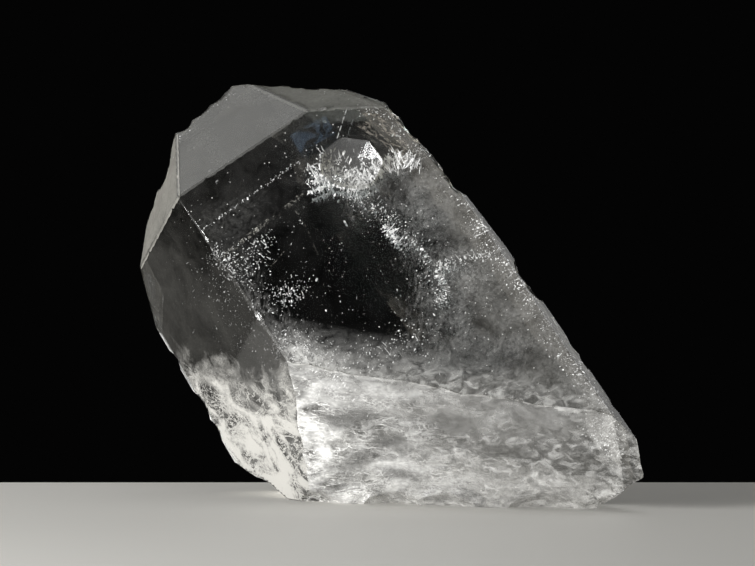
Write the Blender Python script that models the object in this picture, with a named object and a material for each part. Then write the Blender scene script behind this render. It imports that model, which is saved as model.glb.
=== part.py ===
# A clear quartz crystal point with a milky root, broken from its matrix.
# It is one piece: six-sided, flattened, with a chisel-shaped tip of chipped faces.
# It lies on the flat part of the break across its root, with its tip leaning left and back.
# The front is towards -Y, the left towards -X, and the resting plane is z = 0.

import math
import random

import bmesh
import bpy
from mathutils import Matrix, Vector, noise

MM = 0.001

# How the crystal's long axis stands, in degrees
LEAN_LEFT = 35.1
LEAN_BACK = 22.1
TURN = 4.3

# Angle between the long axis and a rhombohedral tip face's normal, in degrees
TIP_POLAR = 51.79
PRISM_POLAR = 90.0

# Growth faces: azimuth about the long axis from the front face, polar angle of the normal,
# and distance from the point where the axis meets the break, in degrees and millimetres
HALF_THICKNESS = 17.0
FACES = {
    "front": (0.0, PRISM_POLAR, HALF_THICKNESS),
    "back": (180.0, PRISM_POLAR, HALF_THICKNESS),
    "back_upper": (180.0, 83.0, 19.1),
    "left": (-60.0, PRISM_POLAR, 16.6),
    "left_back": (-120.0, PRISM_POLAR, 28.5),
    "left_back_upper": (-120.0, 84.0, 28.2),
    "right": (60.0, PRISM_POLAR, 31.6),
    "right_upper": (60.0, 86.0, 34.1),
    "right_back": (120.0, PRISM_POLAR, 16.6),
    "right_back_upper": (120.0, 84.0, 19.1),
    "front_top": (0.0, TIP_POLAR, 50.5),
    "left_top": (-60.0, TIP_POLAR, 50.1),
    "left_back_top": (-120.0, 55.7, 48.3),
    "back_top": (180.0, TIP_POLAR, 44.8),
    "right_back_top": (120.0, TIP_POLAR, 47.8),
    "right_top": (33.7, 48.5, 56.4),
    "shoulder": (207.6, 26.8, 61.9),
}

# Break surfaces around the root: way that they face, from the front towards the left,
# how far they overhang, distance from the same point, and where their relief is read from
# the noise, in degrees and millimetres
BREAKS = {
    "front_break": (15.6, 20.3, 4.0, 0.0),
    "left_break": (84.0, 57.4, 12.9, 3.7),
    "right_break": (-88.4, 52.3, 13.2, 7.4),
}
BREAK_CELL = 1.6
BREAK_RELIEF = 0.55

# Length and height of the relief's waves, and the finer splinters' share and fineness
WAVE_LENGTH = 5.5
WAVE_HEIGHT = 2.5
SPLINTER_SHARE = 0.45
SPLINTER_FINENESS = 2.7

# Slabs that remove the rock beyond a break. Their facets closer to flat than this join up.
SLAB_LENGTH = 104.0
SLAB_HEIGHT = 64.0
SLAB_THICKNESS = 60.0
FLAT_ANGLE = 0.002

# Chips along the edges: number, smallest and largest radius, and depth of bite in millimetres
EDGE_CHIPS = {
    ("front_top", "shoulder"): (6, 4.0, 8.0, 0.4),
    ("left_top", "shoulder"): (3, 3.0, 6.0, 0.35),
    ("right_top", "right_back_top"): (5, 2.5, 6.0, 0.35),
    ("right_upper", "right_back_upper"): (9, 2.5, 6.0, 0.3),
    ("right", "right_back"): (8, 2.5, 6.0, 0.35),
    ("back_top", "left_back_top"): (3, 3.0, 6.0, 0.4),
    ("back", "right_back"): (5, 3.0, 7.0, 0.35),
    ("left", "left_back"): (4, 3.0, 7.0, 0.35),
    ("front", "left"): (5, 2.0, 3.5, 0.12),
    ("front", "right_top"): (4, 1.6, 3.0, 0.15),
}
CHIP_PLACE = (0.15, 0.85)
CHIP_STRETCH = (1.0, 1.4)
BITE_SPREAD = (0.5, 1.2)

# Chips around the resting face's rim, which bite more from below than from the side
ROOT_CHIPS = 12
ROOT_CHIP_RADIUS = (4.0, 9.0)
ROOT_CHIP_BITE = 0.5
ROOT_CHIP_STRETCH = 1.3
ROOT_CHIP_DOWNWARD = 0.9

# Single larger chips on an edge: its two faces, place along the edge, radius and bite
LARGE_CHIPS = (
    (("right_upper", "right_back_upper"), 1.0, 2.6, 1.0),
    (("front_top", "shoulder"), 0.85, 2.0, 1.0),
)
LARGE_CHIP_STRETCH = 1.15

# Shell-shaped scars inside a face: the face, distance to the right of the long axis,
# distance up it, radius and bite
FACE_SCARS = (
    ("front", 16.8, 47.6, 11.0, 0.42),
    ("back", -9.0, 16.0, 16.0, 0.5),
    ("back_top", -6.0, 4.0, 14.0, 0.45),
    ("left_back", 4.0, 24.0, 10.0, 0.4),
)
SCAR_STRETCH = 1.25

# Resting face: a hollowed break with flats where it touches, sizes in millimetres
HOLLOW_DEPTH = 1.0
HOLLOW_REACH = (13.0, 8.0)
UNDER_RELIEF = 0.9
UNDER_NOISE = 20.0
ROOT_EXCESS = 3.0

BLOCK_SIZE = 300.0
CHIP_SUBDIVISIONS = 3
SEED = 11


def clear_scene():
    for item in list(bpy.data.objects):
        bpy.data.objects.remove(item, do_unlink=True)


def axis_rotation():
    """Turn about the long axis, then the lean back, then the lean to the left."""
    turn = Matrix.Rotation(math.radians(TURN), 3, "Z")
    back = Matrix.Rotation(math.radians(-LEAN_BACK), 3, "X")
    left = Matrix.Rotation(math.radians(-LEAN_LEFT), 3, "Y")
    return left @ back @ turn


def growth_normal(azimuth, polar):
    azimuth = math.radians(azimuth)
    polar = math.radians(polar)
    across = math.sin(polar)
    normal = Vector((across * math.sin(azimuth), -across * math.cos(azimuth), math.cos(polar)))
    return axis_rotation() @ normal


def break_normal(facing, overhang):
    facing = math.radians(facing)
    overhang = math.radians(overhang)
    across = math.cos(overhang)
    return Vector((-across * math.sin(facing), -across * math.cos(facing), -math.sin(overhang)))


def quartz_material():
    material = bpy.data.materials.new("clear_quartz")
    material.use_nodes = True
    surface = material.node_tree.nodes["Principled BSDF"]
    surface.inputs["Base Color"].default_value = (0.86, 0.86, 0.84, 1.0)
    surface.inputs["Roughness"].default_value = 0.05
    surface.inputs["Metallic"].default_value = 0.0
    surface.inputs["IOR"].default_value = 1.544
    surface.inputs["Transmission Weight"].default_value = 1.0
    return material


def new_object(name, mesh_data):
    mesh = bpy.data.meshes.new(name)
    mesh_data.to_mesh(mesh)
    mesh_data.free()
    item = bpy.data.objects.new(name, mesh)
    bpy.context.scene.collection.objects.link(item)
    return item


def slice_off(mesh_data, point, normal):
    """Cut away what lies outside the plane, and close the cut with one flat face."""
    everything = mesh_data.verts[:] + mesh_data.edges[:] + mesh_data.faces[:]
    cut = bmesh.ops.bisect_plane(
        mesh_data, geom=everything, dist=1e-7, plane_co=point, plane_no=normal, clear_outer=True
    )
    rim = [part for part in cut["geom_cut"] if isinstance(part, bmesh.types.BMEdge)]
    if rim:
        bmesh.ops.contextual_create(mesh_data, geom=rim)


def crystal_body():
    """The growth faces, cut from a large block, with a little too much left at the root."""
    mesh_data = bmesh.new()
    bmesh.ops.create_cube(mesh_data, size=BLOCK_SIZE * MM)
    for azimuth, polar, distance in FACES.values():
        normal = growth_normal(azimuth, polar)
        slice_off(mesh_data, normal * distance * MM, normal)
    slice_off(mesh_data, Vector((0.0, 0.0, -ROOT_EXCESS * MM)), Vector((0.0, 0.0, -1.0)))
    bmesh.ops.recalc_face_normals(mesh_data, faces=mesh_data.faces)
    return mesh_data


def face_towards(mesh_data, normal):
    return max(mesh_data.faces, key=lambda face: face.normal.dot(normal))


def shared_edge(mesh_data, first, second):
    """End points of the edge between two growth faces, the upper end first."""
    first_face = face_towards(mesh_data, growth_normal(*FACES[first][:2]))
    second_face = face_towards(mesh_data, growth_normal(*FACES[second][:2]))
    shared = [edge for edge in first_face.edges if edge in second_face.edges[:]]
    ends = [vertex.co.copy() for vertex in shared[0].verts]
    return sorted(ends, key=lambda end: -end.z)


def chip_cutter(name, centre, radius, stretch, turn, cutters):
    """A slightly stretched ball that takes a shell-shaped flake out of the edge that it overlaps."""
    mesh_data = bmesh.new()
    bmesh.ops.create_icosphere(mesh_data, subdivisions=CHIP_SUBDIVISIONS, radius=radius * MM)
    bmesh.ops.scale(mesh_data, verts=mesh_data.verts, vec=(stretch, 1.0, 1.0))
    bmesh.ops.rotate(mesh_data, verts=mesh_data.verts, matrix=Matrix.Rotation(turn, 3, "Z"))
    bmesh.ops.translate(mesh_data, verts=mesh_data.verts, vec=centre)
    cutters.append(new_object(name, mesh_data))


def edge_frame(mesh_data, first, second):
    """End points of an edge between two growth faces, and the way straight out of it."""
    top, bottom = shared_edge(mesh_data, first, second)
    outward = growth_normal(*FACES[first][:2]) + growth_normal(*FACES[second][:2])
    return top, bottom, outward.normalized()


def edge_chips(mesh_data, cutters, chance):
    for (first, second), (count, smallest, largest, bite) in EDGE_CHIPS.items():
        top, bottom, outward = edge_frame(mesh_data, first, second)
        for number in range(count):
            place = (number + chance.uniform(*CHIP_PLACE)) / count
            radius = chance.uniform(smallest, largest)
            depth = bite * chance.uniform(*BITE_SPREAD)
            centre = top.lerp(bottom, place) + outward * (radius - depth) * MM
            stretch = chance.uniform(*CHIP_STRETCH)
            turn = chance.uniform(0.0, math.pi)
            chip_cutter(f"chip_{first}_{second}_{number}", centre, radius, stretch, turn, cutters)


def large_chips(mesh_data, cutters, chance):
    for number, ((first, second), place, radius, bite) in enumerate(LARGE_CHIPS):
        top, bottom, outward = edge_frame(mesh_data, first, second)
        centre = top.lerp(bottom, place) + outward * (radius - bite) * MM
        turn = chance.uniform(0.0, math.pi)
        chip_cutter(f"large_chip_{number}", centre, radius, LARGE_CHIP_STRETCH, turn, cutters)


def face_scars(cutters, chance):
    axis = axis_rotation() @ Vector((0.0, 0.0, 1.0))
    for number, (face, right, up, radius, bite) in enumerate(FACE_SCARS):
        azimuth, polar, distance = FACES[face]
        normal = growth_normal(azimuth, polar)
        rightward = axis.cross(normal).normalized()
        upward = normal.cross(rightward)
        spot = normal * distance + rightward * right + upward * up
        centre = (spot + normal * (radius - bite)) * MM
        turn = chance.uniform(0.0, math.pi)
        chip_cutter(f"scar_{number}", centre, radius, SCAR_STRETCH, turn, cutters)


def root_chips(mesh_data, cutters, chance):
    """Scallops around the rim of the resting face. Gives back the middle of that face."""
    outline = mesh_data.copy()
    slice_off(outline, Vector((0.0, 0.0, 0.0)), Vector((0.0, 0.0, -1.0)))
    for facing, overhang, distance, _ in BREAKS.values():
        normal = break_normal(facing, overhang)
        slice_off(outline, normal * distance * MM, normal)
    outline.normal_update()
    base = face_towards(outline, Vector((0.0, 0.0, -1.0)))
    middle = base.calc_center_median()
    corners = [vertex.co.copy() for vertex in base.verts]
    sides = list(zip(corners, corners[1:] + corners[:1]))
    length = sum((end - start).length for start, end in sides)
    for number in range(ROOT_CHIPS):
        travel = length * (number + chance.uniform(*CHIP_PLACE)) / ROOT_CHIPS
        for start, end in sides:
            side = (end - start).length
            if travel <= side:
                break
            travel -= side
        spot = start.lerp(end, travel / side)
        outward = (spot - middle).normalized()
        outward.z = -ROOT_CHIP_DOWNWARD
        outward.normalize()
        radius = chance.uniform(*ROOT_CHIP_RADIUS)
        depth = ROOT_CHIP_BITE * chance.uniform(*BITE_SPREAD)
        centre = spot + outward * (radius - depth) * MM
        turn = chance.uniform(0.0, math.pi)
        chip_cutter(f"root_chip_{number}", centre, radius, ROOT_CHIP_STRETCH, turn, cutters)
    outline.free()
    return middle


def fracture_height(along, up, noise_depth):
    """Hackly relief of a break: long low waves with finer splinters on them."""
    point = Vector((along / WAVE_LENGTH, up / WAVE_HEIGHT, noise_depth))
    return noise.noise(point) + SPLINTER_SHARE * noise.noise(point * SPLINTER_FINENESS)


def rough_slab(name, across, upward, normal, lift_at):
    """A slab whose inner side is a rough break surface, and which removes all beyond it."""
    mesh_data = bmesh.new()
    bmesh.ops.create_grid(
        mesh_data,
        x_segments=round(SLAB_LENGTH / BREAK_CELL),
        y_segments=round(SLAB_HEIGHT / BREAK_CELL),
        size=0.5,
    )
    for vertex in mesh_data.verts:
        along = vertex.co.x * SLAB_LENGTH
        up = vertex.co.y * SLAB_HEIGHT
        vertex.co = (across * along + upward * up + normal * lift_at(along, up)) * MM
    skin = mesh_data.faces[:]
    grown = bmesh.ops.extrude_face_region(mesh_data, geom=skin, use_keep_orig=True)
    far_side = [part for part in grown["geom"] if isinstance(part, bmesh.types.BMVert)]
    bmesh.ops.translate(mesh_data, verts=far_side, vec=normal * SLAB_THICKNESS * MM)
    bmesh.ops.recalc_face_normals(mesh_data, faces=mesh_data.faces)
    bmesh.ops.dissolve_limit(
        mesh_data, angle_limit=FLAT_ANGLE, verts=mesh_data.verts, edges=mesh_data.edges
    )
    return new_object(name, mesh_data)


def side_break(name, facing, overhang, distance, noise_depth):
    normal = break_normal(facing, overhang)
    across = normal.cross(Vector((0.0, 0.0, 1.0))).normalized()
    upward = across.cross(normal)

    def lift_at(along, up):
        return distance + BREAK_RELIEF * fracture_height(along, up, noise_depth)

    return rough_slab(name, across, upward, normal, lift_at)


def under_break(centre):
    """The break that the crystal rests on: a shallow hollow, and flats around it at z = 0."""

    def lift_at(along, up):
        reach_x, reach_y = HOLLOW_REACH
        inward = ((along - centre.x / MM) / reach_x) ** 2 + ((up - centre.y / MM) / reach_y) ** 2
        hollow = HOLLOW_DEPTH * (1.0 - inward)
        height = hollow + UNDER_RELIEF * fracture_height(along, up, UNDER_NOISE)
        return -max(0.0, height)

    east = Vector((1.0, 0.0, 0.0))
    north = Vector((0.0, 1.0, 0.0))
    return rough_slab("under_break", east, north, Vector((0.0, 0.0, -1.0)), lift_at)


def cut_with(item, cutter):
    modifier = item.modifiers.new(cutter.name, "BOOLEAN")
    modifier.operation = "DIFFERENCE"
    modifier.solver = "EXACT"
    modifier.object = cutter
    cutter.hide_render = True
    cutter.display_type = "WIRE"


def settle(item, cutters):
    """Move the crystal so that the middle of its box stands over the origin."""
    bpy.context.view_layer.update()
    shape = item.evaluated_get(bpy.context.evaluated_depsgraph_get())
    corners = [vertex.co for vertex in shape.data.vertices]
    low = Vector(min(corner[axis] for corner in corners) for axis in range(3))
    high = Vector(max(corner[axis] for corner in corners) for axis in range(3))
    offset = Vector((-(low.x + high.x) / 2, -(low.y + high.y) / 2, -low.z))
    for part in [item] + cutters:
        part.data.transform(Matrix.Translation(offset))


def main():
    clear_scene()
    chance = random.Random(SEED)
    body = crystal_body()
    cutters = []
    edge_chips(body, cutters, chance)
    large_chips(body, cutters, chance)
    face_scars(cutters, chance)
    root_middle = root_chips(body, cutters, chance)
    for name, values in BREAKS.items():
        cutters.append(side_break(name, *values))
    cutters.append(under_break(root_middle))
    crystal = new_object("quartz_crystal", body)
    crystal.data.materials.append(quartz_material())
    for cutter in cutters:
        cut_with(crystal, cutter)
    settle(crystal, cutters)


main()
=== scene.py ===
import math
import random

import bpy
from mathutils import Matrix, Vector
from mathutils.bvhtree import BVHTree


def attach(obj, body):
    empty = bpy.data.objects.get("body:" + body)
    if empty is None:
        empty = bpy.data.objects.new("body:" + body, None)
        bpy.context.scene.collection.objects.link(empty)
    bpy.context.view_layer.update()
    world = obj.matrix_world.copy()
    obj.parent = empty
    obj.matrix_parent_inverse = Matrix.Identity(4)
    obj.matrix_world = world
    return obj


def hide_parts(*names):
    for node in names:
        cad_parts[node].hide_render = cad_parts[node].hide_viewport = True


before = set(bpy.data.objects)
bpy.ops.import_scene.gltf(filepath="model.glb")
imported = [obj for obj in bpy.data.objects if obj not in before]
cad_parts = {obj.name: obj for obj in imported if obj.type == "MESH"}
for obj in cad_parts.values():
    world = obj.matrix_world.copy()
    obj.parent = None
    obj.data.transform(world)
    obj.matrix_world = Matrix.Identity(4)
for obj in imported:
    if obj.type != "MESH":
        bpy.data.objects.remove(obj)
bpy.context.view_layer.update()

# The crystal's outside: natural quartz, grown with flat glassy faces and later broken from its
# rock, which left a torn root below and shell-shaped chips along the edges. It stands for the
# CAD solid, with the breaks and chips given their fine splintery relief.

MM = 0.001
NODE = "quartz_crystal"
WELD_GAP = 0.01 * MM
FLAT_ANGLE = math.radians(0.3)
LARGEST_BROKEN_FACET = 9.0 * MM * MM
ROOT_TOP = 22.5 * MM
ROOT_TOP_SLOPE = -0.09
BREAK_CUTS = 3

# Real splinters and grit are finer. They are as coarse here as they need to be to show.
SPLINTER_SIZE = 1.1 * MM
SPLINTER_RELIEF = 0.16 * MM
GRIT_SIZE = 0.45 * MM
GRIT_RELIEF = 0.08 * MM
SMOOTH_ANGLE = math.radians(40)
CLEAR_SLOT, CHIP_SLOT, ROOT_SLOT = range(3)


def select_only(*items):
    """Selects these pieces and nothing else."""
    bpy.ops.object.select_all(action="DESELECT")
    for item in items:
        item.select_set(True)
    bpy.context.view_layer.objects.active = items[0]


crystal = bpy.data.objects.new("crystal_surface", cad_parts[NODE].data.copy())
bpy.context.scene.collection.objects.link(crystal)
select_only(crystal)
bpy.ops.object.mode_set(mode="EDIT")
bpy.ops.mesh.select_mode(type="FACE")
bpy.ops.mesh.select_all(action="SELECT")
bpy.ops.mesh.remove_doubles(threshold=WELD_GAP)
bpy.ops.mesh.dissolve_limited(angle_limit=FLAT_ANGLE)
bpy.ops.object.mode_set(mode="OBJECT")
crystal.data.materials.clear()
for slot in (CLEAR_SLOT, CHIP_SLOT, ROOT_SLOT):
    crystal.data.materials.append(None)

# The flat growth faces stay as they are. All that is smaller is chipped, or torn at the root.
for face in crystal.data.polygons:
    face.select = face.area < LARGEST_BROKEN_FACET
    in_root = face.center.z < ROOT_TOP + ROOT_TOP_SLOPE * face.center.x
    face.material_index = (ROOT_SLOT if in_root else CHIP_SLOT) if face.select else CLEAR_SLOT
bpy.ops.object.mode_set(mode="EDIT")
bpy.ops.mesh.subdivide(number_cuts=BREAK_CUTS)
bpy.ops.object.mode_set(mode="OBJECT")

flat_corners = set()
for face in crystal.data.polygons:
    if face.material_index == CLEAR_SLOT:
        flat_corners.update(face.vertices)
broken_group = crystal.vertex_groups.new(name="broken")
broken_group.add(
    [v.index for v in crystal.data.vertices if v.index not in flat_corners], 1.0, "REPLACE"
)


def roughen(piece, name, size, height, group=""):
    """Pushes a surface in and out by soft lumps of the given size, and applies it."""
    texture = bpy.data.textures.new(name, "CLOUDS")
    texture.noise_scale = size
    relief = piece.modifiers.new(name, "DISPLACE")
    relief.texture = texture
    relief.texture_coords = "LOCAL"
    relief.vertex_group = group
    relief.strength = height
    relief.mid_level = 0.5
    select_only(piece)
    bpy.ops.object.modifier_apply(modifier=name)


roughen(crystal, "splinters", SPLINTER_SIZE, SPLINTER_RELIEF, "broken")
roughen(crystal, "grit", GRIT_SIZE, GRIT_RELIEF, "broken")
crystal.vertex_groups.clear()

# Breaks are shaded round. Growth faces stay flat right up to their edges.
bpy.ops.object.shade_smooth_by_angle(angle=SMOOTH_ANGLE)
crisp_edges = set()
for face in crystal.data.polygons:
    if face.material_index == CLEAR_SLOT:
        face.use_smooth = False
        crisp_edges.update(face.edge_keys)
for edge in crystal.data.edges:
    if edge.key in crisp_edges:
        edge.use_edge_sharp = True


def linear(hex_colour):
    """Turns an sRGB hex colour into the linear colour that a shader takes."""
    channels = [int(hex_colour[place:place + 2], 16) / 255 for place in (1, 3, 5)]
    curve = [c / 12.92 if c <= 0.04045 else ((c + 0.055) / 1.055) ** 2.4 for c in channels]
    return (*curve, 1.0)


def add_node(tree, kind, inputs=None, **settings):
    """Adds a node with its settings. An input takes a value, a socket, or another node."""
    node = tree.nodes.new(kind)
    for name, value in settings.items():
        setattr(node, name, value)
    for name, value in (inputs or {}).items():
        if isinstance(value, bpy.types.Node):
            value = value.outputs[0]
        if isinstance(value, bpy.types.NodeSocket):
            tree.links.new(value, node.inputs[name])
        else:
            node.inputs[name].default_value = value
    return node


def new_material(name):
    """A bare material, its node tree, and the place on the piece that its patterns read."""
    material = bpy.data.materials.new(name)
    material.use_nodes = True
    tree = material.node_tree
    tree.nodes.clear()
    return material, tree, add_node(tree, "ShaderNodeTexCoord").outputs["Object"]


QUARTZ_IOR = 1.544
ABSORPTION_PER_METRE = 14.0
HILLOCK_SIZE = 4.0 * MM
SMEAR_SIZE = 9.0 * MM


LET_THROUGH = "#F6F6F6"
CLEAR_QUARTZ_TINT = "#DAD9D4"


def finish_glass(tree, surface):
    """Lets lamps through to what lies inside, and darkens long ways through the quartz."""
    way = add_node(tree, "ShaderNodeLightPath")
    for_lamps = add_node(tree, "ShaderNodeBsdfTransparent", {"Color": linear(LET_THROUGH)})
    mixed = add_node(
        tree, "ShaderNodeMixShader", {0: way.outputs["Is Shadow Ray"], 1: surface, 2: for_lamps}
    )
    inside = add_node(
        tree, "ShaderNodeVolumeAbsorption",
        {"Color": linear(CLEAR_QUARTZ_TINT), "Density": ABSORPTION_PER_METRE},
    )
    add_node(tree, "ShaderNodeOutputMaterial", {"Surface": mixed, "Volume": inside})


def clear_quartz():
    """Rock crystal as it grew: glassy, with faint growth hillocks and dull smears."""
    material, tree, place = new_material("clear_rock_crystal")
    hillocks = add_node(
        tree, "ShaderNodeTexNoise", {"Vector": place, "Scale": 1 / HILLOCK_SIZE, "Detail": 3.0}
    )
    bump = add_node(
        tree, "ShaderNodeBump", {"Height": hillocks, "Strength": 0.10, "Distance": 0.12 * MM}
    )
    smears = add_node(
        tree, "ShaderNodeTexNoise", {"Vector": place, "Scale": 1 / SMEAR_SIZE, "Detail": 4.0}
    )
    gloss = add_node(
        tree, "ShaderNodeMapRange",
        {"Value": smears, "From Min": 0.35, "From Max": 0.7, "To Min": 0.02, "To Max": 0.08},
    )
    surface = add_node(
        tree, "ShaderNodeBsdfPrincipled",
        {
            "Base Color": linear("#FAFAF8"), "Roughness": gloss, "IOR": QUARTZ_IOR,
            "Transmission Weight": 1.0, "Normal": bump,
        },
    )
    finish_glass(tree, surface)
    return material


CHIP_RIPPLE_SIZE = 0.8 * MM
CHIP_RIPPLE_DEPTH = 0.12 * MM


def chipped_quartz():
    """Quartz where a chip broke off: rippled, and slightly whitened by cracks below the surface."""
    material, tree, place = new_material("chipped_quartz")
    ripples = add_node(
        tree, "ShaderNodeTexNoise",
        {"Vector": place, "Scale": 1 / CHIP_RIPPLE_SIZE, "Detail": 4.0},
    )
    bump = add_node(
        tree, "ShaderNodeBump", {"Height": ripples, "Strength": 0.6, "Distance": CHIP_RIPPLE_DEPTH}
    )
    surface = add_node(
        tree, "ShaderNodeBsdfPrincipled",
        {
            "Base Color": linear("#F6F6F4"), "Roughness": 0.12, "IOR": QUARTZ_IOR,
            "Transmission Weight": 0.93, "Normal": bump,
        },
    )
    finish_glass(tree, surface)
    return material


# Places seen in the picture are measured from here, in mm: how far across and how high.
PICTURE_START = Vector((0.52, -3.05, 0.0)) * MM


def lumps(tree, place, size, low, high, detail=4.0, waver=0.0, drawn_out=(1, 1, 1), turn=0.0):
    """A soft lumpy pattern from low to high. Its lumps are size wide, times drawn_out."""
    fitted = add_node(
        tree, "ShaderNodeMapping",
        {
            "Vector": place, "Rotation": (0.0, math.radians(turn), 0.0),
            "Scale": [size * factor for factor in drawn_out],
        },
        vector_type="TEXTURE",
    )
    noise = add_node(
        tree, "ShaderNodeTexNoise",
        {"Vector": fitted, "Scale": 1.0, "Detail": detail, "Roughness": 0.6, "Distortion": waver},
    )
    return add_node(
        tree, "ShaderNodeMapRange",
        {"Value": noise, "From Min": 0.3, "From Max": 0.7, "To Min": low, "To Max": high},
    )


def oval(tree, place, centre, radii, tilt=0.0):
    """0 in the middle of an oval seen from the front, 1 on its line, and more outside it."""
    fitted = add_node(
        tree, "ShaderNodeMapping",
        {
            "Vector": place,
            "Location": PICTURE_START + Vector((centre[0], 0.0, centre[1])) * MM,
            "Rotation": (0.0, math.radians(tilt), 0.0),
            "Scale": (radii[0] * MM, 10.0, radii[1] * MM),
        },
        vector_type="TEXTURE",
    )
    return add_node(tree, "ShaderNodeVectorMath", {0: fitted}, operation="LENGTH").outputs["Value"]


def ragged_oval(tree, place, shape, lump, middle, outside, softness):
    """An oval with an uneven rim, from the middle value to the outside value."""
    uneven = add_node(
        tree, "ShaderNodeMath",
        {0: oval(tree, place, *shape), 1: lumps(tree, place, lump, -0.3, 0.3, 5.0, 0.6)},
        operation="ADD",
    )
    return add_node(
        tree, "ShaderNodeMapRange",
        {
            "Value": uneven, "From Min": 1 - softness, "From Max": 1 + softness,
            "To Min": middle, "To Max": outside,
        },
    )


def threads(tree, place, size, level, strength, drawn_out, turn):
    """Fine silky threads that follow one level of a drawn-out lumpy pattern."""
    pattern = lumps(tree, place, size, -level, 1.0 - level, 4.0, 1.6, drawn_out, turn)
    off_level = add_node(tree, "ShaderNodeMath", {0: pattern}, operation="ABSOLUTE")
    return add_node(
        tree, "ShaderNodeMapRange",
        {"Value": off_level, "From Min": 0.0, "From Max": 0.05, "To Min": strength, "To Max": 0.0},
    )


def milk(tree, place, shift, most):
    """Milky feathers, from clear to a density of most: soft clouds with silky threads."""
    moved = add_node(tree, "ShaderNodeMapping", {"Vector": place, "Location": (0.0, shift, 0.0)})
    clouds = lumps(tree, moved, 4.5 * MM, -0.4 * most, 1.2 * most, 8.0, 1.0, (2.2, 1.5, 1), -6.0)
    silk = add_node(
        tree, "ShaderNodeMath",
        {
            0: threads(tree, moved, 2.6 * MM, 0.42, 1.3 * most, (5, 1.5, 1), -6.0),
            1: threads(tree, moved, 1.9 * MM, 0.60, 1.3 * most, (5, 1.5, 1), 4.0),
        },
        operation="MAXIMUM",
    )
    feathers = add_node(tree, "ShaderNodeMath", {0: clouds, 1: silk}, operation="MAXIMUM")
    grain = lumps(tree, moved, 0.4 * MM, 0.6, 1.2, 3.0, 0.0, (2, 1, 1))
    return add_node(tree, "ShaderNodeMath", {0: feathers, 1: grain}, operation="MULTIPLY")


ROOT_LEFT_EDGE = -24 * MM
ROOT_RIGHT_END = 38 * MM
ROOT_THINNING = 2.3
ROOT_HEIGHT = (12.0 * MM, 22.0 * MM)
ROOT_RISE_TO_LEFT = 0.12
ROOT_SURFACE_MILK = 1.7
MILK_WHITE = "#FCFBF8"

# Clearer pits in the milk: the middle, half width and half height, and tilt of each.
PITS = (
    ((-6.5, 13.6), (3.6, 1.7), -12.0), ((-5.2, 7.0), (2.6, 1.5), -25.0), ((-0.5, 10.0), (2.4, 1.2), 10.0),
    ((1.5, 5.0), (2.6, 0.9), 8.0), ((8.0, 13.5), (4.5, 1.6), 5.0), ((20.5, 15.0), (5.0, 2.2), 35.0),
    ((17.0, 9.0), (4.4, 1.0), 6.0),
)


def root_milk(tree, place, shift, strength, above=0.0):
    """The milk of the root: thick at the lower left, thinning out upwards and to the right."""
    parts = add_node(tree, "ShaderNodeSeparateXYZ", {"Vector": place})
    from_left = add_node(
        tree, "ShaderNodeMapRange",
        {
            "Value": parts.outputs["X"], "From Min": ROOT_LEFT_EDGE, "From Max": ROOT_RIGHT_END,
            "To Min": 1.0, "To Max": 0.0,
        },
    )
    thinning = add_node(
        tree, "ShaderNodeMath", {0: from_left, 1: ROOT_THINNING}, operation="POWER"
    )
    feathers = milk(tree, place, shift, strength)
    patches = lumps(tree, place, 5.0 * MM, 0.3, 1.6, 3.0, 0.6, (2.2, 3, 1), -8.0)
    feathers = add_node(tree, "ShaderNodeMath", {0: feathers, 1: patches}, operation="MULTIPLY")
    sloped = add_node(
        tree, "ShaderNodeMath",
        {0: parts.outputs["X"], 1: ROOT_RISE_TO_LEFT, 2: parts.outputs["Z"]},
        operation="MULTIPLY_ADD",
    )
    uneven = add_node(
        tree, "ShaderNodeMath",
        {0: sloped, 1: lumps(tree, place, 5 * MM, -2.5 * MM, 2.5 * MM, 5.0, 0.8)}, operation="ADD",
    )
    thinned = add_node(tree, "ShaderNodeMath", {0: feathers, 1: thinning}, operation="MULTIPLY")
    mottles = lumps(tree, place, 1.1 * MM, -0.25, 0.42, 7.0, 0.8, (2.0, 1, 1), -6.0)
    thinned = add_node(tree, "ShaderNodeMath", {0: thinned, 1: mottles}, operation="MAXIMUM")
    for pit in PITS:
        clearer = add_node(tree, "ShaderNodeMath", {0: thinned, 1: 0.3}, operation="MULTIPLY")
        thinned = ragged_oval(tree, place, pit, 1.5 * MM, clearer, thinned, 0.5)
    return add_node(
        tree, "ShaderNodeMapRange",
        {
            "Value": uneven, "From Min": ROOT_HEIGHT[0], "From Max": ROOT_HEIGHT[1],
            "To Min": thinned, "To Max": above,
        },
    )


def torn_quartz():
    """Quartz torn from its rock: rippled glass, with white milk right up to the surface."""
    material, tree, place = new_material("torn_root_quartz")
    ripples = lumps(tree, place, 1.4 * MM, 0.0, 1.0)
    bump = add_node(
        tree, "ShaderNodeBump", {"Height": ripples, "Strength": 0.5, "Distance": 0.08 * MM}
    )
    glass = add_node(
        tree, "ShaderNodeBsdfPrincipled",
        {
            "Base Color": linear("#F4F3EF"), "Roughness": 0.08, "IOR": QUARTZ_IOR,
            "Transmission Weight": 0.95, "Normal": bump,
        },
    )
    white = add_node(
        tree, "ShaderNodeBsdfPrincipled",
        {"Base Color": linear(MILK_WHITE), "Roughness": 0.4, "Normal": bump},
    )
    haze = lumps(tree, place, 1.3 * MM, 0.05, 0.35, 6.0, 0.8, (2, 1, 1))
    surface = add_node(
        tree, "ShaderNodeMixShader",
        {0: root_milk(tree, place, 0.0, ROOT_SURFACE_MILK, haze), 1: glass, 2: white},
    )
    finish_glass(tree, surface)
    return material


crystal.data.materials[CLEAR_SLOT] = clear_quartz()
crystal.data.materials[CHIP_SLOT] = chipped_quartz()
crystal.data.materials[ROOT_SLOT] = torn_quartz()
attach(crystal, "root")
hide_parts(NODE)

# The front veil: a thin cloud of tiny bubbles, caught while the crystal grew. It lies just
# under the front face, and leaves a dark clear window open in the middle with frayed edges.

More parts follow.
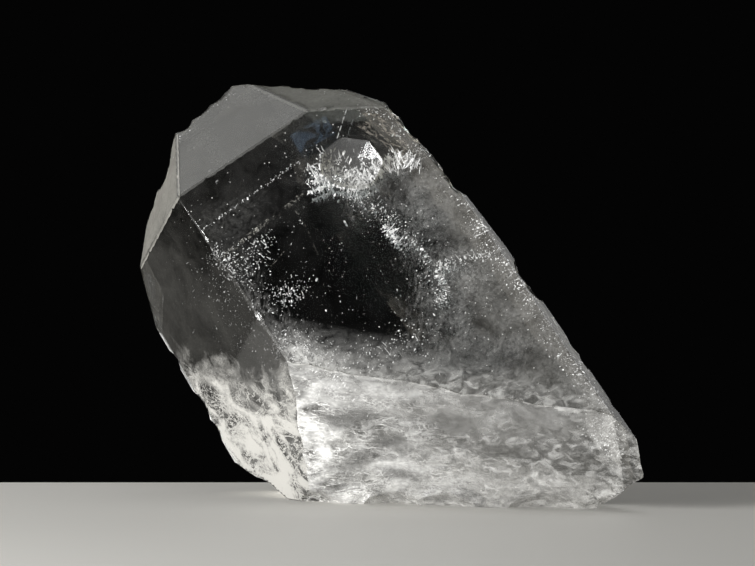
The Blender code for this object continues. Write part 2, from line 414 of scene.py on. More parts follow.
FRONT_FACE = (Vector((-0.154, -0.924, 0.350)), Vector((-9.45, -9.89, 35.78)) * MM)
SIGHT = Vector((0.0, 0.9962, -0.0872))
SIGHT_INSIDE = Vector((0.056, 0.981, -0.184))


def behind_front_face(across, height, depth):
    """The point that is seen at a place in the picture, in mm, this deep behind the face."""
    normal, through = FRONT_FACE
    start = PICTURE_START + Vector((across, 0.0, height)) * MM
    travel = (through - start).dot(normal) / SIGHT.dot(normal)
    return start + SIGHT * travel + SIGHT_INSIDE * depth


# Each side is its outward direction and a point on it. The flat ones are the growth faces.
FRONT_BREAK = (Vector((-0.252, -0.903, -0.347)), Vector((0.52, -13.12, 12.0)) * MM)
FLAT_SIDES = [
    (face.normal.copy(), face.center.copy())
    for face in crystal.data.polygons if face.material_index == CLEAR_SLOT
]
BREAK_SIDES = [
    FRONT_BREAK,
    (Vector((0.611, -0.017, -0.791)), Vector((18.0, -8.6, -10.4)) * MM),
    (Vector((-0.536, -0.056, -0.843)), Vector((3.1, -9.1, -10.9)) * MM),
]
RELIEF_OF_BREAKS = 1.6 * MM
SHEET_GAP = 0.15 * MM
NEAREST_TO_SURFACE = 0.06 * MM
SMALLEST_TRIANGLE = 0.0001 * MM * MM
SMALLEST_STEP = 0.001 * MM
ANY_WAY_OUT = Vector((0.31, -0.87, 0.38)).normalized()
crystal.data.calc_loop_triangles()
SURFACE = BVHTree.FromPolygons(
    [vertex.co for vertex in crystal.data.vertices],
    [
        tuple(triangle.vertices) for triangle in crystal.data.loop_triangles
        if triangle.area > SMALLEST_TRIANGLE
    ],
)


def is_inside(point, gap):
    """Whether a point is in the quartz, so that a way out crosses the surface an odd number of times."""
    if SURFACE.find_nearest(point)[3] < gap:
        return False
    crossings = 0
    hit = SURFACE.ray_cast(point, ANY_WAY_OUT)[0]
    while hit is not None:
        crossings += 1
        hit = SURFACE.ray_cast(hit + ANY_WAY_OUT * SMALLEST_STEP, ANY_WAY_OUT)[0]
    return crossings % 2 == 1


def trim_to_crystal(piece, gap):
    """Deletes what lies outside the crystal, or nearer to its surface than the gap."""
    select_only(piece)
    bpy.ops.object.mode_set(mode="EDIT")
    bpy.ops.mesh.select_mode(type="VERT")
    bpy.ops.mesh.select_all(action="DESELECT")
    bpy.ops.object.mode_set(mode="OBJECT")
    for vertex in piece.data.vertices:
        vertex.select = not is_inside(vertex.co, gap)
    bpy.ops.object.mode_set(mode="EDIT")
    bpy.ops.mesh.delete(type="VERT")
    bpy.ops.mesh.select_mode(type="FACE")
    bpy.ops.object.mode_set(mode="OBJECT")


def sheet_in_crystal(name, plane, depth, step=0.7 * MM, size=100 * MM, crumple=()):
    """A thin sheet parallel to a plane, this deep inside it, and cut off short of the surface."""
    normal, through = plane
    cells = round(size / step)
    bpy.ops.object.select_all(action="DESELECT")
    bpy.ops.mesh.primitive_grid_add(
        x_subdivisions=cells, y_subdivisions=cells, size=size,
        location=through - normal.normalized() * depth,
        rotation=normal.to_track_quat("Z", "Y").to_euler(),
    )
    sheet = bpy.context.object
    sheet.name = name
    bpy.ops.object.transform_apply(location=True, rotation=True, scale=True)
    for number, (lump, height) in enumerate(crumple):
        roughen(sheet, name + str(number), lump, height)
    bpy.ops.object.mode_set(mode="EDIT")
    sides = [(outward, point - outward * SHEET_GAP) for outward, point in FLAT_SIDES]
    sides += [(outward, point + outward * RELIEF_OF_BREAKS) for outward, point in BREAK_SIDES]
    for outward, point in sides:
        bpy.ops.mesh.select_all(action="SELECT")
        bpy.ops.mesh.bisect(plane_co=point, plane_no=outward, clear_outer=True)
    bpy.ops.object.mode_set(mode="OBJECT")
    trim_to_crystal(sheet, NEAREST_TO_SURFACE)
    bpy.ops.object.shade_smooth()
    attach(sheet, "root")
    return sheet


def specks(tree, place, spacing, radius, share):
    """Round specks, one in each of a share of the cells that fill the piece."""
    cells = add_node(tree, "ShaderNodeTexVoronoi", {"Vector": place, "Scale": 1 / spacing})
    parts = add_node(tree, "ShaderNodeSeparateColor", {"Color": cells.outputs["Color"]})
    chosen = add_node(tree, "ShaderNodeMath", {0: parts, 1: share}, operation="LESS_THAN")
    return add_node(
        tree, "ShaderNodeMapRange",
        {
            "Value": cells, "From Min": 0.6 * radius / spacing, "From Max": radius / spacing,
            "To Min": chosen, "To Max": 0.0,
        },
    )


def finish_cloud(tree, colour, density):
    """Clouding in quartz: it scatters light where it is dense, and is clear where it is not."""
    surface = add_node(
        tree, "ShaderNodeBsdfPrincipled",
        {"Base Color": linear(colour), "Roughness": 0.9, "Specular IOR Level": 0.0, "Alpha": density},
    )
    add_node(tree, "ShaderNodeOutputMaterial", {"Surface": surface})


# Ovals seen in the picture: the middle, half width and half height in mm, and tilt in degrees.
WINDOW = ((-9.0, 35.5), (15.5, 12.0), 40.0)
WHITE_NEST = ((-11.0, 19.8), (7.0, 3.2), 40.0)
LEFT_PATCH = ((-25.0, 42.5), (7.0, 3.6), -35.0)
TIP_EDGE = Vector((-32.3, 0.0, 45.9)) * MM
TIP_EDGE_SLOPE = math.radians(33.1)


def window_rim(tree, place, fray):
    """How far out from the clear window a place is, with fibres that fray its edge."""
    fibres = lumps(tree, place, 0.4 * MM, -fray, fray, 3.0, 0.5, (1, 1, 7))
    clouds = lumps(tree, place, 5.0 * MM, -0.25, 0.25, 5.0, 0.6)
    frayed = add_node(tree, "ShaderNodeMath", {0: fibres, 1: clouds}, operation="ADD")
    return add_node(
        tree, "ShaderNodeMath", {0: oval(tree, place, *WINDOW), 1: frayed}, operation="ADD"
    )


front_veil = sheet_in_crystal("front_veil", FRONT_FACE, 0.3 * MM, step=0.3 * MM)
front_material, tree, place = new_material("bubble_veil_of_the_front_face")
rim = window_rim(tree, place, 0.3)
grain = lumps(tree, place, 0.4 * MM, 0.3, 1.7, 3.0)
outside_window = add_node(
    tree, "ShaderNodeMapRange",
    {"Value": rim, "From Min": 0.85, "From Max": 1.25, "To Min": 0.03, "To Max": grain},
)
from_tip_edge = add_node(
    tree, "ShaderNodeMapping",
    {"Vector": place, "Location": TIP_EDGE, "Rotation": (0.0, -TIP_EDGE_SLOPE, 0.0)},
    vector_type="TEXTURE",
)
from_tip_edge = add_node(tree, "ShaderNodeSeparateXYZ", {"Vector": from_tip_edge}).outputs["Z"]
below_tip = add_node(
    tree, "ShaderNodeMapRange",
    {
        "Value": from_tip_edge, "From Min": -20 * MM, "From Max": -7 * MM,
        "To Min": outside_window, "To Max": 0.12,
    },
)
clouds = lumps(tree, place, 4.0 * MM, 0.01, 0.16, 6.0, 0.5)
haze = add_node(tree, "ShaderNodeMath", {0: below_tip, 1: clouds}, operation="MULTIPLY")
nest = ragged_oval(
    tree, place, WHITE_NEST, 2.0 * MM,
    lumps(tree, place, 0.9 * MM, 0.0, 0.75, 4.0, 1.2, (2.5, 1, 1), 50.0), 0.0, 0.5,
)
haze = add_node(tree, "ShaderNodeMath", {0: haze, 1: nest}, operation="MAXIMUM")
mottles = ragged_oval(
    tree, place, LEFT_PATCH, 3.0 * MM, lumps(tree, place, 0.7 * MM, 0.0, 0.05, 4.0, 0.5), 0.0, 0.4
)
haze = add_node(tree, "ShaderNodeMath", {0: haze, 1: mottles}, operation="MAXIMUM")
parts = add_node(tree, "ShaderNodeSeparateXYZ", {"Vector": place})
from_left = add_node(
    tree, "ShaderNodeMapRange",
    {
        "Value": parts.outputs["X"], "From Min": -12 * MM, "From Max": 6 * MM,
        "To Min": lumps(tree, place, 1.6 * MM, -0.05, 0.5, 7.0, 1.0, (1.6, 1, 1)),
        "To Max": lumps(tree, place, 1.2 * MM, -0.1, 0.6, 7.0, 1.0, (1.6, 1, 1)),
    },
)
above_root = add_node(
    tree, "ShaderNodeMath", {0: parts.outputs["X"], 1: 0.15, 2: parts.outputs["Z"]},
    operation="MULTIPLY_ADD",
)
rising = add_node(
    tree, "ShaderNodeMapRange",
    {
        "Value": above_root, "From Min": 19.5 * MM, "From Max": 26.5 * MM,
        "To Min": from_left, "To Max": 0.0,
    },
)
haze = add_node(tree, "ShaderNodeMath", {0: haze, 1: rising}, operation="MAXIMUM")
sugar = add_node(
    tree, "ShaderNodeMapRange",
    {
        "Value": rim, "From Min": 0.7, "From Max": 1.0, "To Min": 0.0,
        "To Max": specks(tree, place, 0.8 * MM, 0.12 * MM, 0.3),
    },
)
sugar = add_node(tree, "ShaderNodeMath", {0: sugar, 1: 0.6}, operation="MULTIPLY")
finish_cloud(
    tree, "#F4F3F0", add_node(tree, "ShaderNodeMath", {0: haze, 1: sugar}, operation="MAXIMUM")
)
front_veil.data.materials.append(front_material)

# The inner veil: a second, looser cloud of bubbles further in. It fills the right side of the
# crystal, stays clear of the window, and gives the clouding its depth. Its dark grey is
# painted shade that dims the right side.

inner_veil = sheet_in_crystal("inner_veil", FRONT_FACE, 7.0 * MM, crumple=((9 * MM, 2 * MM),))
inner_material, tree, place = new_material("inner_bubble_veil_painted_shade")
rightward = add_node(tree, "ShaderNodeSeparateXYZ", {"Vector": place}).outputs["X"]
to_the_right = add_node(
    tree, "ShaderNodeMapRange",
    {
        "Value": rightward, "From Min": -14 * MM, "From Max": 6 * MM,
        "To Min": 0.15, "To Max": lumps(tree, place, 5.0 * MM, 0.6, 0.97, 6.0, 0.8),
    },
)
dense = add_node(
    tree, "ShaderNodeMapRange",
    {
        "Value": window_rim(tree, place, 0.25), "From Min": 1.0, "From Max": 1.4,
        "To Min": 0.0, "To Max": to_the_right,
    },
)
# The dark grey of these bubbles is painted shade on the right side of the crystal.
finish_cloud(tree, "#464542", dense)
inner_veil.data.materials.append(inner_material)

# The face veils: the same thin clouds of bubbles under the other growth faces. They turn the
# faces a soft grey with small white dots, and leave one clearer spot on the left. Each face's
# grey is set to how light falls on that face: painted light and shade.


def growth_face(direction):
    """Outward direction and middle of the growth face that looks most nearly this way."""
    return max(FLAT_SIDES, key=lambda side: side[0].dot(Vector(direction)))


TIP_FACE = (-0.451, -0.493, 0.744)
RIGHT_TIP_FACE = (-0.103, -0.298, 0.949)
LEFT_TOP_FACE = (-0.956, -0.178, 0.232)
LEFT_FACE = (-0.798, -0.522, -0.302)
LEFT_BACK_FACE = (-0.696, 0.439, -0.569)
BACK_FACE = (0.088, 0.963, -0.255)
RIGHT_BACK_UPPER_FACE = (0.738, 0.559, 0.379)
RIGHT_BACK_FACE = (0.798, 0.522, 0.302)
LEFT_CLEAR_SPOT = ((-30.5, 41.5), (4.5, 7.5), -35.0)


def face_veil(name, direction, depth, thin, thick, colour, clear_spot=None):
    """Clouding under a growth face, from thin to thick, with dots where bubbles are larger.
    Its grey is painted light and shade, set to how light falls on that face.
    """
    veil = sheet_in_crystal(
        name, growth_face(direction), depth * MM, step=0.45 * MM, size=76 * MM
    )
    material, tree, place = new_material(name + "_clouding_with_painted_shade")
    grain = lumps(tree, place, 0.5 * MM, 0.85, 1.15, 3.0)
    clouds = lumps(tree, place, 6.0 * MM, thin, thick, 6.0, 0.4)
    density = add_node(tree, "ShaderNodeMath", {0: clouds, 1: grain}, operation="MULTIPLY")
    if clear_spot:
        density = ragged_oval(
            tree, place, clear_spot, 3.0 * MM, lumps(tree, place, 1.5 * MM, 0.0, 0.15), density, 0.4
        )
    dots = specks(tree, place, 1.5 * MM, 0.12 * MM, 0.25)
    dots = add_node(tree, "ShaderNodeMath", {0: dots, 1: 0.5}, operation="MULTIPLY")
    dense = add_node(tree, "ShaderNodeMath", {0: density, 1: dots}, operation="MAXIMUM")
    finish_cloud(tree, colour, dense)
    veil.data.materials.append(material)


# Each face's grey below is painted light and shade: darker where the face gets less light.
face_veil("tip_veil", TIP_FACE, 0.35, 0.58, 0.80, "#5A5A58")
face_veil("right_tip_veil", RIGHT_TIP_FACE, 0.35, 0.58, 0.80, "#8A8A85")
face_veil("left_top_veil", LEFT_TOP_FACE, 0.35, 0.60, 0.85, "#9C9A94")
face_veil("left_veil", LEFT_FACE, 0.4, 0.25, 0.60, "#4C4B48", LEFT_CLEAR_SPOT)
face_veil("right_veil", RIGHT_BACK_UPPER_FACE, 0.8, 0.45, 0.85, "#504E4A")
face_veil("right_low_veil", RIGHT_BACK_FACE, 0.8, 0.45, 0.90, "#5A5854")

# The milky root: layers of fine white feathers where the crystal was torn from its rock, thick
# at the lower left and thinning out to the right, with a few clearer pits in them.


def root_veil(name, depth, shift, strength, crumple):
    """A layer of milk behind the front break. It fades out short of the face on the left."""
    veil = sheet_in_crystal(name, FRONT_BREAK, depth * MM, step=0.7 * MM, crumple=crumple)
    material, tree, place = new_material(name + "_feathers")
    outward, through = growth_face(LEFT_FACE)
    along = add_node(
        tree, "ShaderNodeVectorMath", {0: place, 1: outward}, operation="DOT_PRODUCT"
    ).outputs["Value"]
    rim = through.dot(outward)
    inside = add_node(
        tree, "ShaderNodeMapRange",
        {
            "Value": along, "From Min": rim - 4 * MM, "From Max": rim - 0.5 * MM,
            "To Min": root_milk(tree, place, shift, strength), "To Max": 0.0,
        },
    )
    finish_cloud(tree, MILK_WHITE, inside)
    veil.data.materials.append(material)


root_veil("root_veil_middle", 2.4, 13 * MM, 0.8, ((6 * MM, 1.5 * MM),))
root_veil("root_veil_deep", 5.5, 29 * MM, 0.7, ((6 * MM, 1.5 * MM),))


def root_side_veil(name, direction, depth, strength, bottom, top, colour=MILK_WHITE):
    """The same milk under a growth face, low down beside the root."""
    veil = sheet_in_crystal(name, growth_face(direction), depth * MM, step=0.35 * MM, size=80 * MM)
    material, tree, place = new_material(name + "_feathers")
    height = add_node(tree, "ShaderNodeSeparateXYZ", {"Vector": place}).outputs["Z"]
    uneven = add_node(
        tree, "ShaderNodeMath",
        {0: height, 1: lumps(tree, place, 5 * MM, -3 * MM, 3 * MM, 5.0, 0.8)}, operation="ADD",
    )
    low_down = add_node(
        tree, "ShaderNodeMapRange",
        {
            "Value": uneven, "From Min": bottom * MM, "From Max": top * MM,
            "To Min": milk(tree, place, 40 * MM, strength), "To Max": 0.0,
        },
    )
    finish_cloud(tree, colour, low_down)
    veil.data.materials.append(material)


root_side_veil("root_left_veil", LEFT_FACE, 0.28, 2.4, 9, 21, "#C4C2BD")
root_side_veil("root_left_back_veil", LEFT_BACK_FACE, 1.2, 1.0, 8, 22)
root_side_veil("root_back_veil", BACK_FACE, 1.2, 0.6, 7, 19)
root_side_veil("root_right_back_veil", RIGHT_BACK_FACE, 1.8, 0.4, 7, 20)

# The dark fracture: a smooth crack filled with air, in patches behind the window and above it.
# From the front it mirrors the dark room, so that the crystal looks dark and deep there.

DARK_PLACES = (
    ((5.2, 40.6), (1.2, 3.0), 15.0, 0.6),
    ((-0.5, 39.0), (12.0, 8.0), 48.0, 0.97),
    ((-9.8, 44.4), (4.2, 3.2), 0.0, 0.97),
    ((7.4, 28.0), (5.0, 3.6), 20.0, 0.9),
    ((9.5, 22.0), (9.0, 3.2), 0.0, 0.8),
    ((-12.5, 56.2), (6.5, 4.0), -30.0, 0.9),
    ((-9.5, 45.5), (4.0, 6.5), -35.0, 0.97),
    ((-4.6, 56.8), (4.4, 3.0), 45.0, 0.85),
)
DARK_FRACTURE_DEPTH = 5.5 * MM

dark_fracture = sheet_in_crystal(
    "dark_fracture", FRONT_FACE, DARK_FRACTURE_DEPTH, step=0.8 * MM
)
dark_material, tree, place = new_material("smooth_air_filled_crack")
shown = 0.0
for (across, height), radii, tilt, most in DARK_PLACES:
    middle = (behind_front_face(across, height, DARK_FRACTURE_DEPTH) - PICTURE_START) / MM
    shape = ((middle.x, middle.z), radii, tilt)
    shown = ragged_oval(tree, place, shape, 3.0 * MM, most, shown, 0.25)
surface = add_node(
    tree, "ShaderNodeBsdfPrincipled",
    {"Base Color": linear("#C8CCCC"), "Roughness": 0.05, "Metallic": 1.0, "Alpha": shown},
)
add_node(tree, "ShaderNodeOutputMaterial", {"Surface": surface})
dark_fracture.data.materials.append(dark_material)

# The bright fractures: crumpled cracks inside the crystal that throw light back like foil. They
# run over the top of the clear window, with a wedge and a shell-shaped crack to its right. Narrow
# ones are the lit edges of cracks that are seen from their side.

STRIP_STEP = 0.3 * MM
FOLD_SIZE = 1.1 * MM
CREASE_SIZE = 0.4 * MM
CREASE_SHARE = 0.4
STRIP_GAP = 0.3 * MM


def fracture_strip(name, path, width, depth, lean, crumple):
    """A crumpled strip along a path seen in the picture. It leans away from the front face."""
    points = [behind_front_face(across, height, depth * MM) for across, height in path]
    lengths = [(b - a).length for a, b in zip(points, points[1:])]
    columns = max(4, round(sum(lengths) / STRIP_STEP))
    rows = max(2, round(width * MM / STRIP_STEP))
    bpy.ops.object.select_all(action="DESELECT")
    bpy.ops.mesh.primitive_grid_add(x_subdivisions=columns, y_subdivisions=rows, size=1.0)
    strip = bpy.context.object
    strip.name = name
    for vertex in strip.data.vertices:
        along = (vertex.co.x + 0.5) * sum(lengths)
        part = 0
        while part < len(lengths) - 1 and along > lengths[part]:
            along -= lengths[part]
            part += 1
        way = (points[part + 1] - points[part]).normalized()
        sideways = way.cross(SIGHT_INSIDE).normalized()
        offset = vertex.co.y * width * MM
        vertex.co = points[part] + way * along + sideways * offset + SIGHT_INSIDE * lean * offset
    roughen(strip, name + "_folds", FOLD_SIZE, crumple * MM)
    roughen(strip, name + "_creases", CREASE_SIZE, CREASE_SHARE * crumple * MM)
    trim_to_crystal(strip, STRIP_GAP)
    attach(strip, "root")
    return strip


def fracture_foil(name, colour, gloss, metal, size, bareness, most, drawn_out=(1, 1, 1), turn=0.0):
    """A crack with air in it: it mirrors light, in ragged patches with clear quartz between."""
    material, tree, place = new_material(name)
    shown = add_node(
        tree, "ShaderNodeMapRange",
        {
            "Value": lumps(tree, place, size, 0.0, 1.0, 5.0, 0.8, drawn_out, turn),
            "From Min": bareness, "From Max": bareness + 0.15, "To Min": 0.0, "To Max": most,
        },
    )
    surface = add_node(
        tree, "ShaderNodeBsdfPrincipled",
        {"Base Color": linear(colour), "Roughness": gloss, "Metallic": metal, "Alpha": shown},
    )
    add_node(tree, "ShaderNodeOutputMaterial", {"Surface": surface})
    return material


bright_foil = fracture_foil(
    "bright_fracture", "#FFFFFF", 0.2, 0.5, 0.75 * MM, 0.58, 1.0, (3.5, 1, 1), -18.0
)
ribbed_foil = fracture_foil(
    "ribbed_fracture", "#B4ADA2", 0.3, 0.4, 0.45 * MM, 0.5, 0.55, (7, 1, 1), 42.0
)
edge_foil = fracture_foil("lit_crack_edge", "#FFFFFF", 0.3, 0.3, 0.8 * MM, 0.35, 0.9)
faint_foil = fracture_foil("faint_crack_edge", "#9A9890", 0.4, 0.2, 0.6 * MM, 0.5, 0.35)
blue_foil = fracture_foil("blue_grey_fracture", "#40566C", 0.5, 0.0, 2.5 * MM, 0.35, 0.2)

# Paths seen in the picture, in mm.
WINDOW_TOP = (
    (-12.4, 48.6), (-9.7, 49.8), (-7.0, 49.8), (-5.7, 48.6), (-3.9, 49.6), (-2.2, 50.5), (-0.6, 51.6),
    (1.4, 52.2), (3.4, 51.8),
)
TOP_SIDE = ((-12.6, 50.4), (-10.4, 51.6), (-8.0, 52.2))
LEFT_OF_WINDOW = ((-26.1, 37.0), (-20.0, 42.0), (-15.8, 45.1), (-13.8, 46.9))
WINDOW_RIGHT = ((-7.4, 47.3), (-4.2, 45.2), (-1.3, 43.5), (1.3, 41.0), (4.0, 38.2), (8.0, 31.8))
WEDGE = ((14.7, 37.6), (10.8, 37.0), (6.6, 35.5), (8.0, 31.8), (6.6, 30.3))
SHELL = ((-5.0, 58.6), (-1.5, 56.6), (1.0, 54.4), (2.6, 52.4))
BLUE_PATCH = ((-15.0, 54.4), (-9.6, 57.4))
WHITE_LINE = ((-6.6, 61.6), (-6.9, 60.4), (-7.7, 58.0), (-8.6, 55.2))
WINDOW_TOP_LINE = ((-13.0, 46.9), (-11.0, 47.8), (-8.6, 48.3), (-6.6, 47.6), (-4.6, 48.2), (-1.0, 50.4))
CURVED_LINES = (
    ((-15.0, 44.3), (-13.2, 41.6), (-11.5, 37.5)),
    ((-7.2, 47.5), (-6.9, 44.5), (-6.2, 43.2), (-3.6, 44.3), (-2.2, 44.2)),
    ((-7.0, 43.6), (-3.6, 42.6), (-0.6, 43.0)),
    ((-22.4, 38.0), (-18.6, 35.8), (-16.6, 38.0)),
)
for name, path, width, depth, lean, crumple, foil in (
    ("window_top_fracture", WINDOW_TOP, 1.7, 2.8, 0.8, 1.1, bright_foil),
    ("top_side_fracture", TOP_SIDE, 1.2, 2.6, 0.6, 0.9, bright_foil),
    ("left_of_window_crack", LEFT_OF_WINDOW, 0.7, 2.2, 0.3, 0.4, faint_foil),
    ("wedge_fracture", WEDGE, 1.0, 2.6, 1.0, 0.7, bright_foil),
    ("shell_fracture", SHELL, 3.4, 2.2, 0.3, 0.35, ribbed_foil),
    ("blue_fracture", BLUE_PATCH, 3.2, 1.2, 0.2, 0.2, blue_foil),
    ("white_crack_line", WHITE_LINE, 0.16, 0.8, 0.3, 0.2, edge_foil),
    ("window_top_line", WINDOW_TOP_LINE, 0.22, 2.4, 0.3, 0.5, edge_foil),
    ("window_left_line", CURVED_LINES[0], 0.14, 2.0, 0.3, 0.3, faint_foil),
    ("upper_crack_line", CURVED_LINES[1], 0.16, 2.4, 0.3, 0.4, faint_foil),
    ("middle_crack_line", CURVED_LINES[2], 0.16, 2.6, 0.3, 0.4, faint_foil),
    ("left_crack_line", CURVED_LINES[3], 0.14, 2.0, 0.3, 0.4, faint_foil),
):
    fracture_strip(name, path, width, depth, lean, crumple).data.materials.append(foil)

# The glints: tiny cracks filled with air, crowded along the fractures and edges and loose round
# the window. Air in quartz throws nearly all light back, so each is a white fleck, more or less
# bright. Each is a low five-sided chip, modelled once and copied, and is drawn larger than life.

DOT_NARROWEST = 0.35
DOT_WIDEST = 0.8
STREAK_LENGTH = 4.5
STREAK_WIDTH = 0.6
GLINT_GAP = 0.12 * MM
START_DISTANCE = 200 * MM

bpy.ops.object.select_all(action="DESELECT")
bpy.ops.mesh.primitive_cone_add(vertices=5, radius1=0.5, radius2=0.15, depth=0.3)
glint_model = bpy.context.object
glint_material, tree, place = new_material("air_filled_glint")
surface = add_node(
    tree, "ShaderNodeBsdfPrincipled",
    {
        "Base Color": lumps(tree, place, 0.7 * MM, 0.65, 1.0, 2.0), "Metallic": 0.1,
        "Roughness": lumps(tree, place, 0.5 * MM, 0.15, 0.4, 2.0),
    },
)
add_node(tree, "ShaderNodeOutputMaterial", {"Surface": surface})
glint_model.data.materials.append(glint_material)
QUARTZ_BEND = 1 / QUARTZ_IOR


def seen_point(across, height, depth):
    """The point seen at a place in the picture, in mm, this deep behind whichever face is there."""
    start = PICTURE_START + Vector((across, 0.0, height)) * MM - SIGHT * START_DISTANCE
    hit, normal, _, _ = SURFACE.ray_cast(start, SIGHT)
    if hit is None:
        return None
    facing = -SIGHT.dot(normal)
    onward = math.sqrt(1 - QUARTZ_BEND ** 2 * (1 - facing ** 2))
    return hit + (SIGHT * QUARTZ_BEND + normal * (QUARTZ_BEND * facing - onward)) * depth


def glint_cluster(name, path, dots, streaks, spread, depth, seed, length):
    """Small dots and a few long streaks, scattered along a path seen in the picture, in mm."""
    rng = random.Random(seed)
    glints = []
    for number in range(dots + streaks):
        part = rng.randrange(len(path) - 1)
        share = rng.random()
        (x0, z0), (x1, z1) = path[part], path[part + 1]
        across = x0 + (x1 - x0) * share + rng.gauss(0, spread)
        height = z0 + (z1 - z0) * share + rng.gauss(0, spread)
        point = seen_point(across, height, rng.uniform(*depth) * MM)
        turn = math.atan2(z1 - z0, x1 - x0)
        if number < dots:
            long_side = length * MM * rng.lognormvariate(0, 0.45)
            short_side = long_side * rng.uniform(DOT_NARROWEST, DOT_WIDEST)
            turn += rng.gauss(0, 0.8)
        else:
            long_side = STREAK_LENGTH * length * MM * rng.lognormvariate(0, 0.4)
            short_side = STREAK_WIDTH * length * MM * rng.uniform(0.6, 1.2)
            turn += rng.gauss(0, 0.25)
        if point is None or not is_inside(point, GLINT_GAP + short_side):
            continue
        facing = FRONT_FACE[0] + Vector([rng.gauss(0, 0.4) for _ in range(3)])
        upright = facing.to_track_quat("Z", "X").to_matrix().to_4x4()
        size = Matrix.Diagonal((long_side, short_side, 0.5 * short_side, 1.0))
        glint = glint_model.copy()
        glint.data = glint_model.data.copy()
        glint.matrix_world = (
            Matrix.Translation(point) @ upright @ Matrix.Rotation(turn, 4, "Z") @ size
        )
        bpy.context.scene.collection.objects.link(glint)
        glints.append(glint)
    select_only(*glints)
    bpy.ops.object.join()
    bpy.ops.object.transform_apply(location=True, rotation=True, scale=True)
    cluster = bpy.context.object
    cluster.name = name
    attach(cluster, "root")


GROWTH_LINES = (
    ((-29.3, 41.1), (-20.0, 47.8)), ((-20.0, 47.8), (-14.2, 51.9)), ((-21.5, 39.1), (-18.0, 41.7))
)
WHITE_NEST_PATH = ((-15.7, 23.8), (-12.7, 20.0), (-6.6, 16.2))
WINDOW_FLOOR = ((-17.3, 25.0), (-9.7, 21.8), (-2.1, 22.7), (5.0, 26.0))
RIGHT_EDGE = ((11.6, 43.8), (15.0, 38.5), (19.2, 32.1), (25.3, 23.0), (31.4, 14.7), (36.7, 7.1))
TIP_OUTLINE = ((-34.6, 51.0), (-31.6, 56.6), (-27.6, 60.6), (-23.4, 62.7), (-13.0, 62.0), (-6.8, 61.5))
TOP_RIGHT_EDGE = ((-6.0, 61.3), (-2.6, 59.8), (4.6, 53.6), (11.4, 44.6))
ALL_OVER = ((-28.0, 40.0), (-8.0, 33.0), (14.0, 30.0))
for name, path, dots, streaks, spread, depth, seed, length in (
    ("top_glints", WINDOW_TOP, 300, 150, 0.65, (1.2, 3.0), 3, 0.34),
    ("top_side_glints", TOP_SIDE + WINDOW_TOP[6:], 170, 60, 0.7, (1.2, 3.0), 4, 0.30),
    ("top_line_glints", WINDOW_TOP_LINE, 140, 30, 0.2, (1.8, 2.4), 14, 0.26),
    ("right_glints", WINDOW_RIGHT, 260, 18, 1.0, (2.0, 4.0), 5, 0.18),
    ("right_fleck_glints", ((-1.3, 42.0), (0.6, 39.6)), 70, 12, 0.4, (2.0, 3.0), 15, 0.26),
    ("wedge_glints", WEDGE, 220, 25, 0.5, (2.0, 4.0), 6, 0.2),
    ("left_glints", ((-27.5, 37.8), (-24.6, 36.7)), 90, 8, 0.8, (0.8, 2.5), 7, 0.18),
    ("left_low_glints", ((-24.1, 34.4), (-19.5, 39.0)), 200, 14, 1.5, (1.0, 4.0), 8, 0.17),
    ("lower_left_glints", ((-18.8, 30.6), (-14.2, 32.1)), 170, 12, 1.2, (1.0, 4.0), 9, 0.18),
    ("nest_glints", WHITE_NEST_PATH, 420, 50, 1.7, (0.8, 4.0), 10, 0.2),
    ("window_floor_glints", WINDOW_FLOOR, 300, 20, 1.4, (1.0, 6.0), 11, 0.16),
    ("right_edge_glints", RIGHT_EDGE, 520, 26, 0.9, (0.3, 2.0), 12, 0.18),
    ("right_tip_glints", ((29.5, 12.0), (34.5, 7.0)), 260, 16, 1.2, (0.2, 2.0), 22, 0.2),
    ("top_right_glints", TOP_RIGHT_EDGE, 260, 22, 0.7, (0.3, 2.0), 16, 0.17),
    ("tip_outline_glints", TIP_OUTLINE, 170, 8, 0.4, (0.25, 0.8), 17, 0.16),
    ("first_growth_line", GROWTH_LINES[0], 70, 0, 0.10, (0.5, 0.9), 18, 0.14),
    ("second_growth_line", GROWTH_LINES[1], 60, 0, 0.14, (0.5, 0.9), 19, 0.14),
    ("third_growth_line", GROWTH_LINES[2], 30, 0, 0.12, (0.5, 0.9), 20, 0.14),
    ("left_side_glints", ((-29.0, 36.0), (-22.5, 27.0), (-20.0, 20.0)), 420, 14, 2.4, (0.3, 2.0), 21, 0.15),
    ("loose_glints", ALL_OVER, 500, 6, 7.0, (0.6, 9.0), 13, 0.14),
):
    glint_cluster(name, path, dots, streaks, spread, depth, seed, length)
bpy.data.objects.remove(glint_model)

# The floor: a plain pale painted board that the crystal rests on. Its matt paint shows a soft
# shadow and no reflection. It ends close behind the crystal, so that the clear window looks out
# into the dark.

FLOOR_SIZE = (320 * MM, 210 * MM, 6 * MM)
FLOOR_BACK = 27 * MM
FLOOR_ROUNDING = 2.0 * MM

bpy.ops.object.select_all(action="DESELECT")
bpy.ops.mesh.primitive_cube_add(
    size=1, location=(0, FLOOR_BACK - FLOOR_SIZE[1] / 2, -FLOOR_SIZE[2] / 2), scale=FLOOR_SIZE
)
floor = bpy.context.object
floor.name = "floor"
bpy.ops.object.transform_apply(location=True, rotation=True, scale=True)
rounding = floor.modifiers.new("rounded_edges", "BEVEL")
rounding.width = FLOOR_ROUNDING
rounding.segments = 4
bpy.ops.object.modifier_apply(modifier="rounded_edges")
floor_material, tree, place = new_material("matt_painted_board")
orange_peel = add_node(tree, "ShaderNodeTexNoise", {"Vector": place, "Scale": 1 / (0.7 * MM)})
bump = add_node(
    tree, "ShaderNodeBump", {"Height": orange_peel, "Strength": 0.1, "Distance": 0.03 * MM}
)
board = add_node(
    tree, "ShaderNodeBsdfPrincipled",
    {"Base Color": linear("#D8D6D0"), "Roughness": 0.6, "Normal": bump},
)
add_node(tree, "ShaderNodeOutputMaterial", {"Surface": board})
floor.data.materials.append(floor_material)

# Soft studio light: large square lamps around the crystal, each turned towards its middle,
# against a dark room.

LIT_MIDDLE = Vector((0.0, 0.0, 30 * MM))


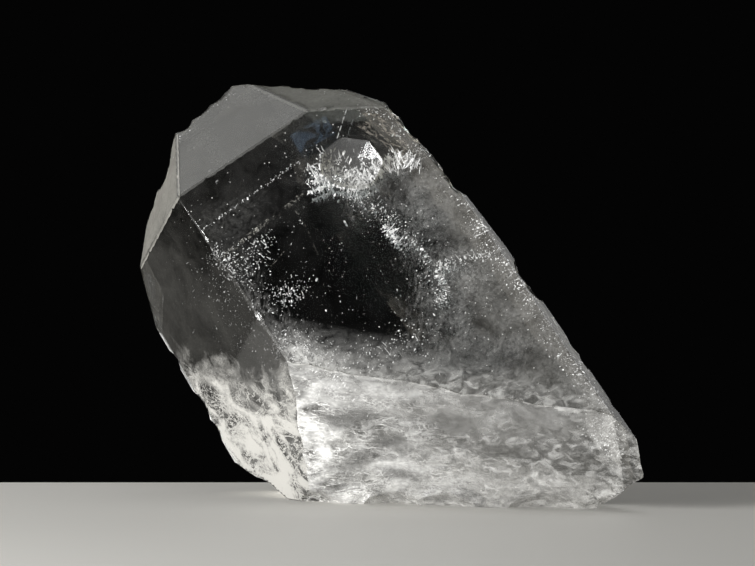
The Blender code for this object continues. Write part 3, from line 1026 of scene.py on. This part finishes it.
def soft_lamp(name, direction, distance, size, power):
    """A square lamp in this direction from the crystal. Its distance and size are in mm."""
    light = bpy.data.lights.new(name, "AREA")
    light.shape = "SQUARE"
    light.size = size * MM
    light.energy = power
    lamp = bpy.data.objects.new(name, light)
    bpy.context.scene.collection.objects.link(lamp)
    way = Vector(direction).normalized()
    lamp.location = LIT_MIDDLE + way * distance * MM
    lamp.rotation_euler = way.to_track_quat("Z", "Y").to_euler()
    lamp.visible_camera = False


soft_lamp("upper_left_lamp", (-0.50, 0.45, 0.74), 380, 260, 0.16)
soft_lamp("low_left_lamp", (-0.80, -0.58, 0.12), 420, 242, 3.5)
soft_lamp("right_back_lamp", (0.80, 0.45, 0.35), 420, 220, 0.17)
soft_lamp("overhead_lamp", (0.15, -0.10, 1.0), 500, 400, 0.5)

world = bpy.data.worlds.new("studio")
world.use_nodes = True
world.node_tree.nodes["Background"].inputs["Color"].default_value = linear("#040404")
bpy.context.scene.world = world

# The camera: low in front of the crystal, looking a little down, with a long lens.

CAMERA_ELEVATION = math.radians(5)
CAMERA_DISTANCE = 3000 * MM
VIEW_WIDTH = 114.8 * MM
VIEW_CENTRE = Vector((-1.93, -3.05, 33.2)) * MM
SENSOR_WIDTH = 36.0

camera_data = bpy.data.cameras.new("camera")
camera_data.sensor_width = SENSOR_WIDTH
camera_data.lens = SENSOR_WIDTH * CAMERA_DISTANCE / VIEW_WIDTH
camera_data.clip_start = 10 * MM
camera_data.clip_end = 10.0
camera = bpy.data.objects.new("camera", camera_data)
bpy.context.scene.collection.objects.link(camera)
towards_camera = Vector((0.0, -math.cos(CAMERA_ELEVATION), math.sin(CAMERA_ELEVATION)))
camera.location = VIEW_CENTRE + towards_camera * CAMERA_DISTANCE
camera.rotation_euler = towards_camera.to_track_quat("Z", "Y").to_euler()
bpy.context.scene.camera = camera

scene = bpy.context.scene
scene.cycles.max_bounces = 16
scene.cycles.transmission_bounces = 16
scene.cycles.transparent_max_bounces = 32
scene.cycles.caustics_refractive = False
scene.view_settings.view_transform = "Standard"
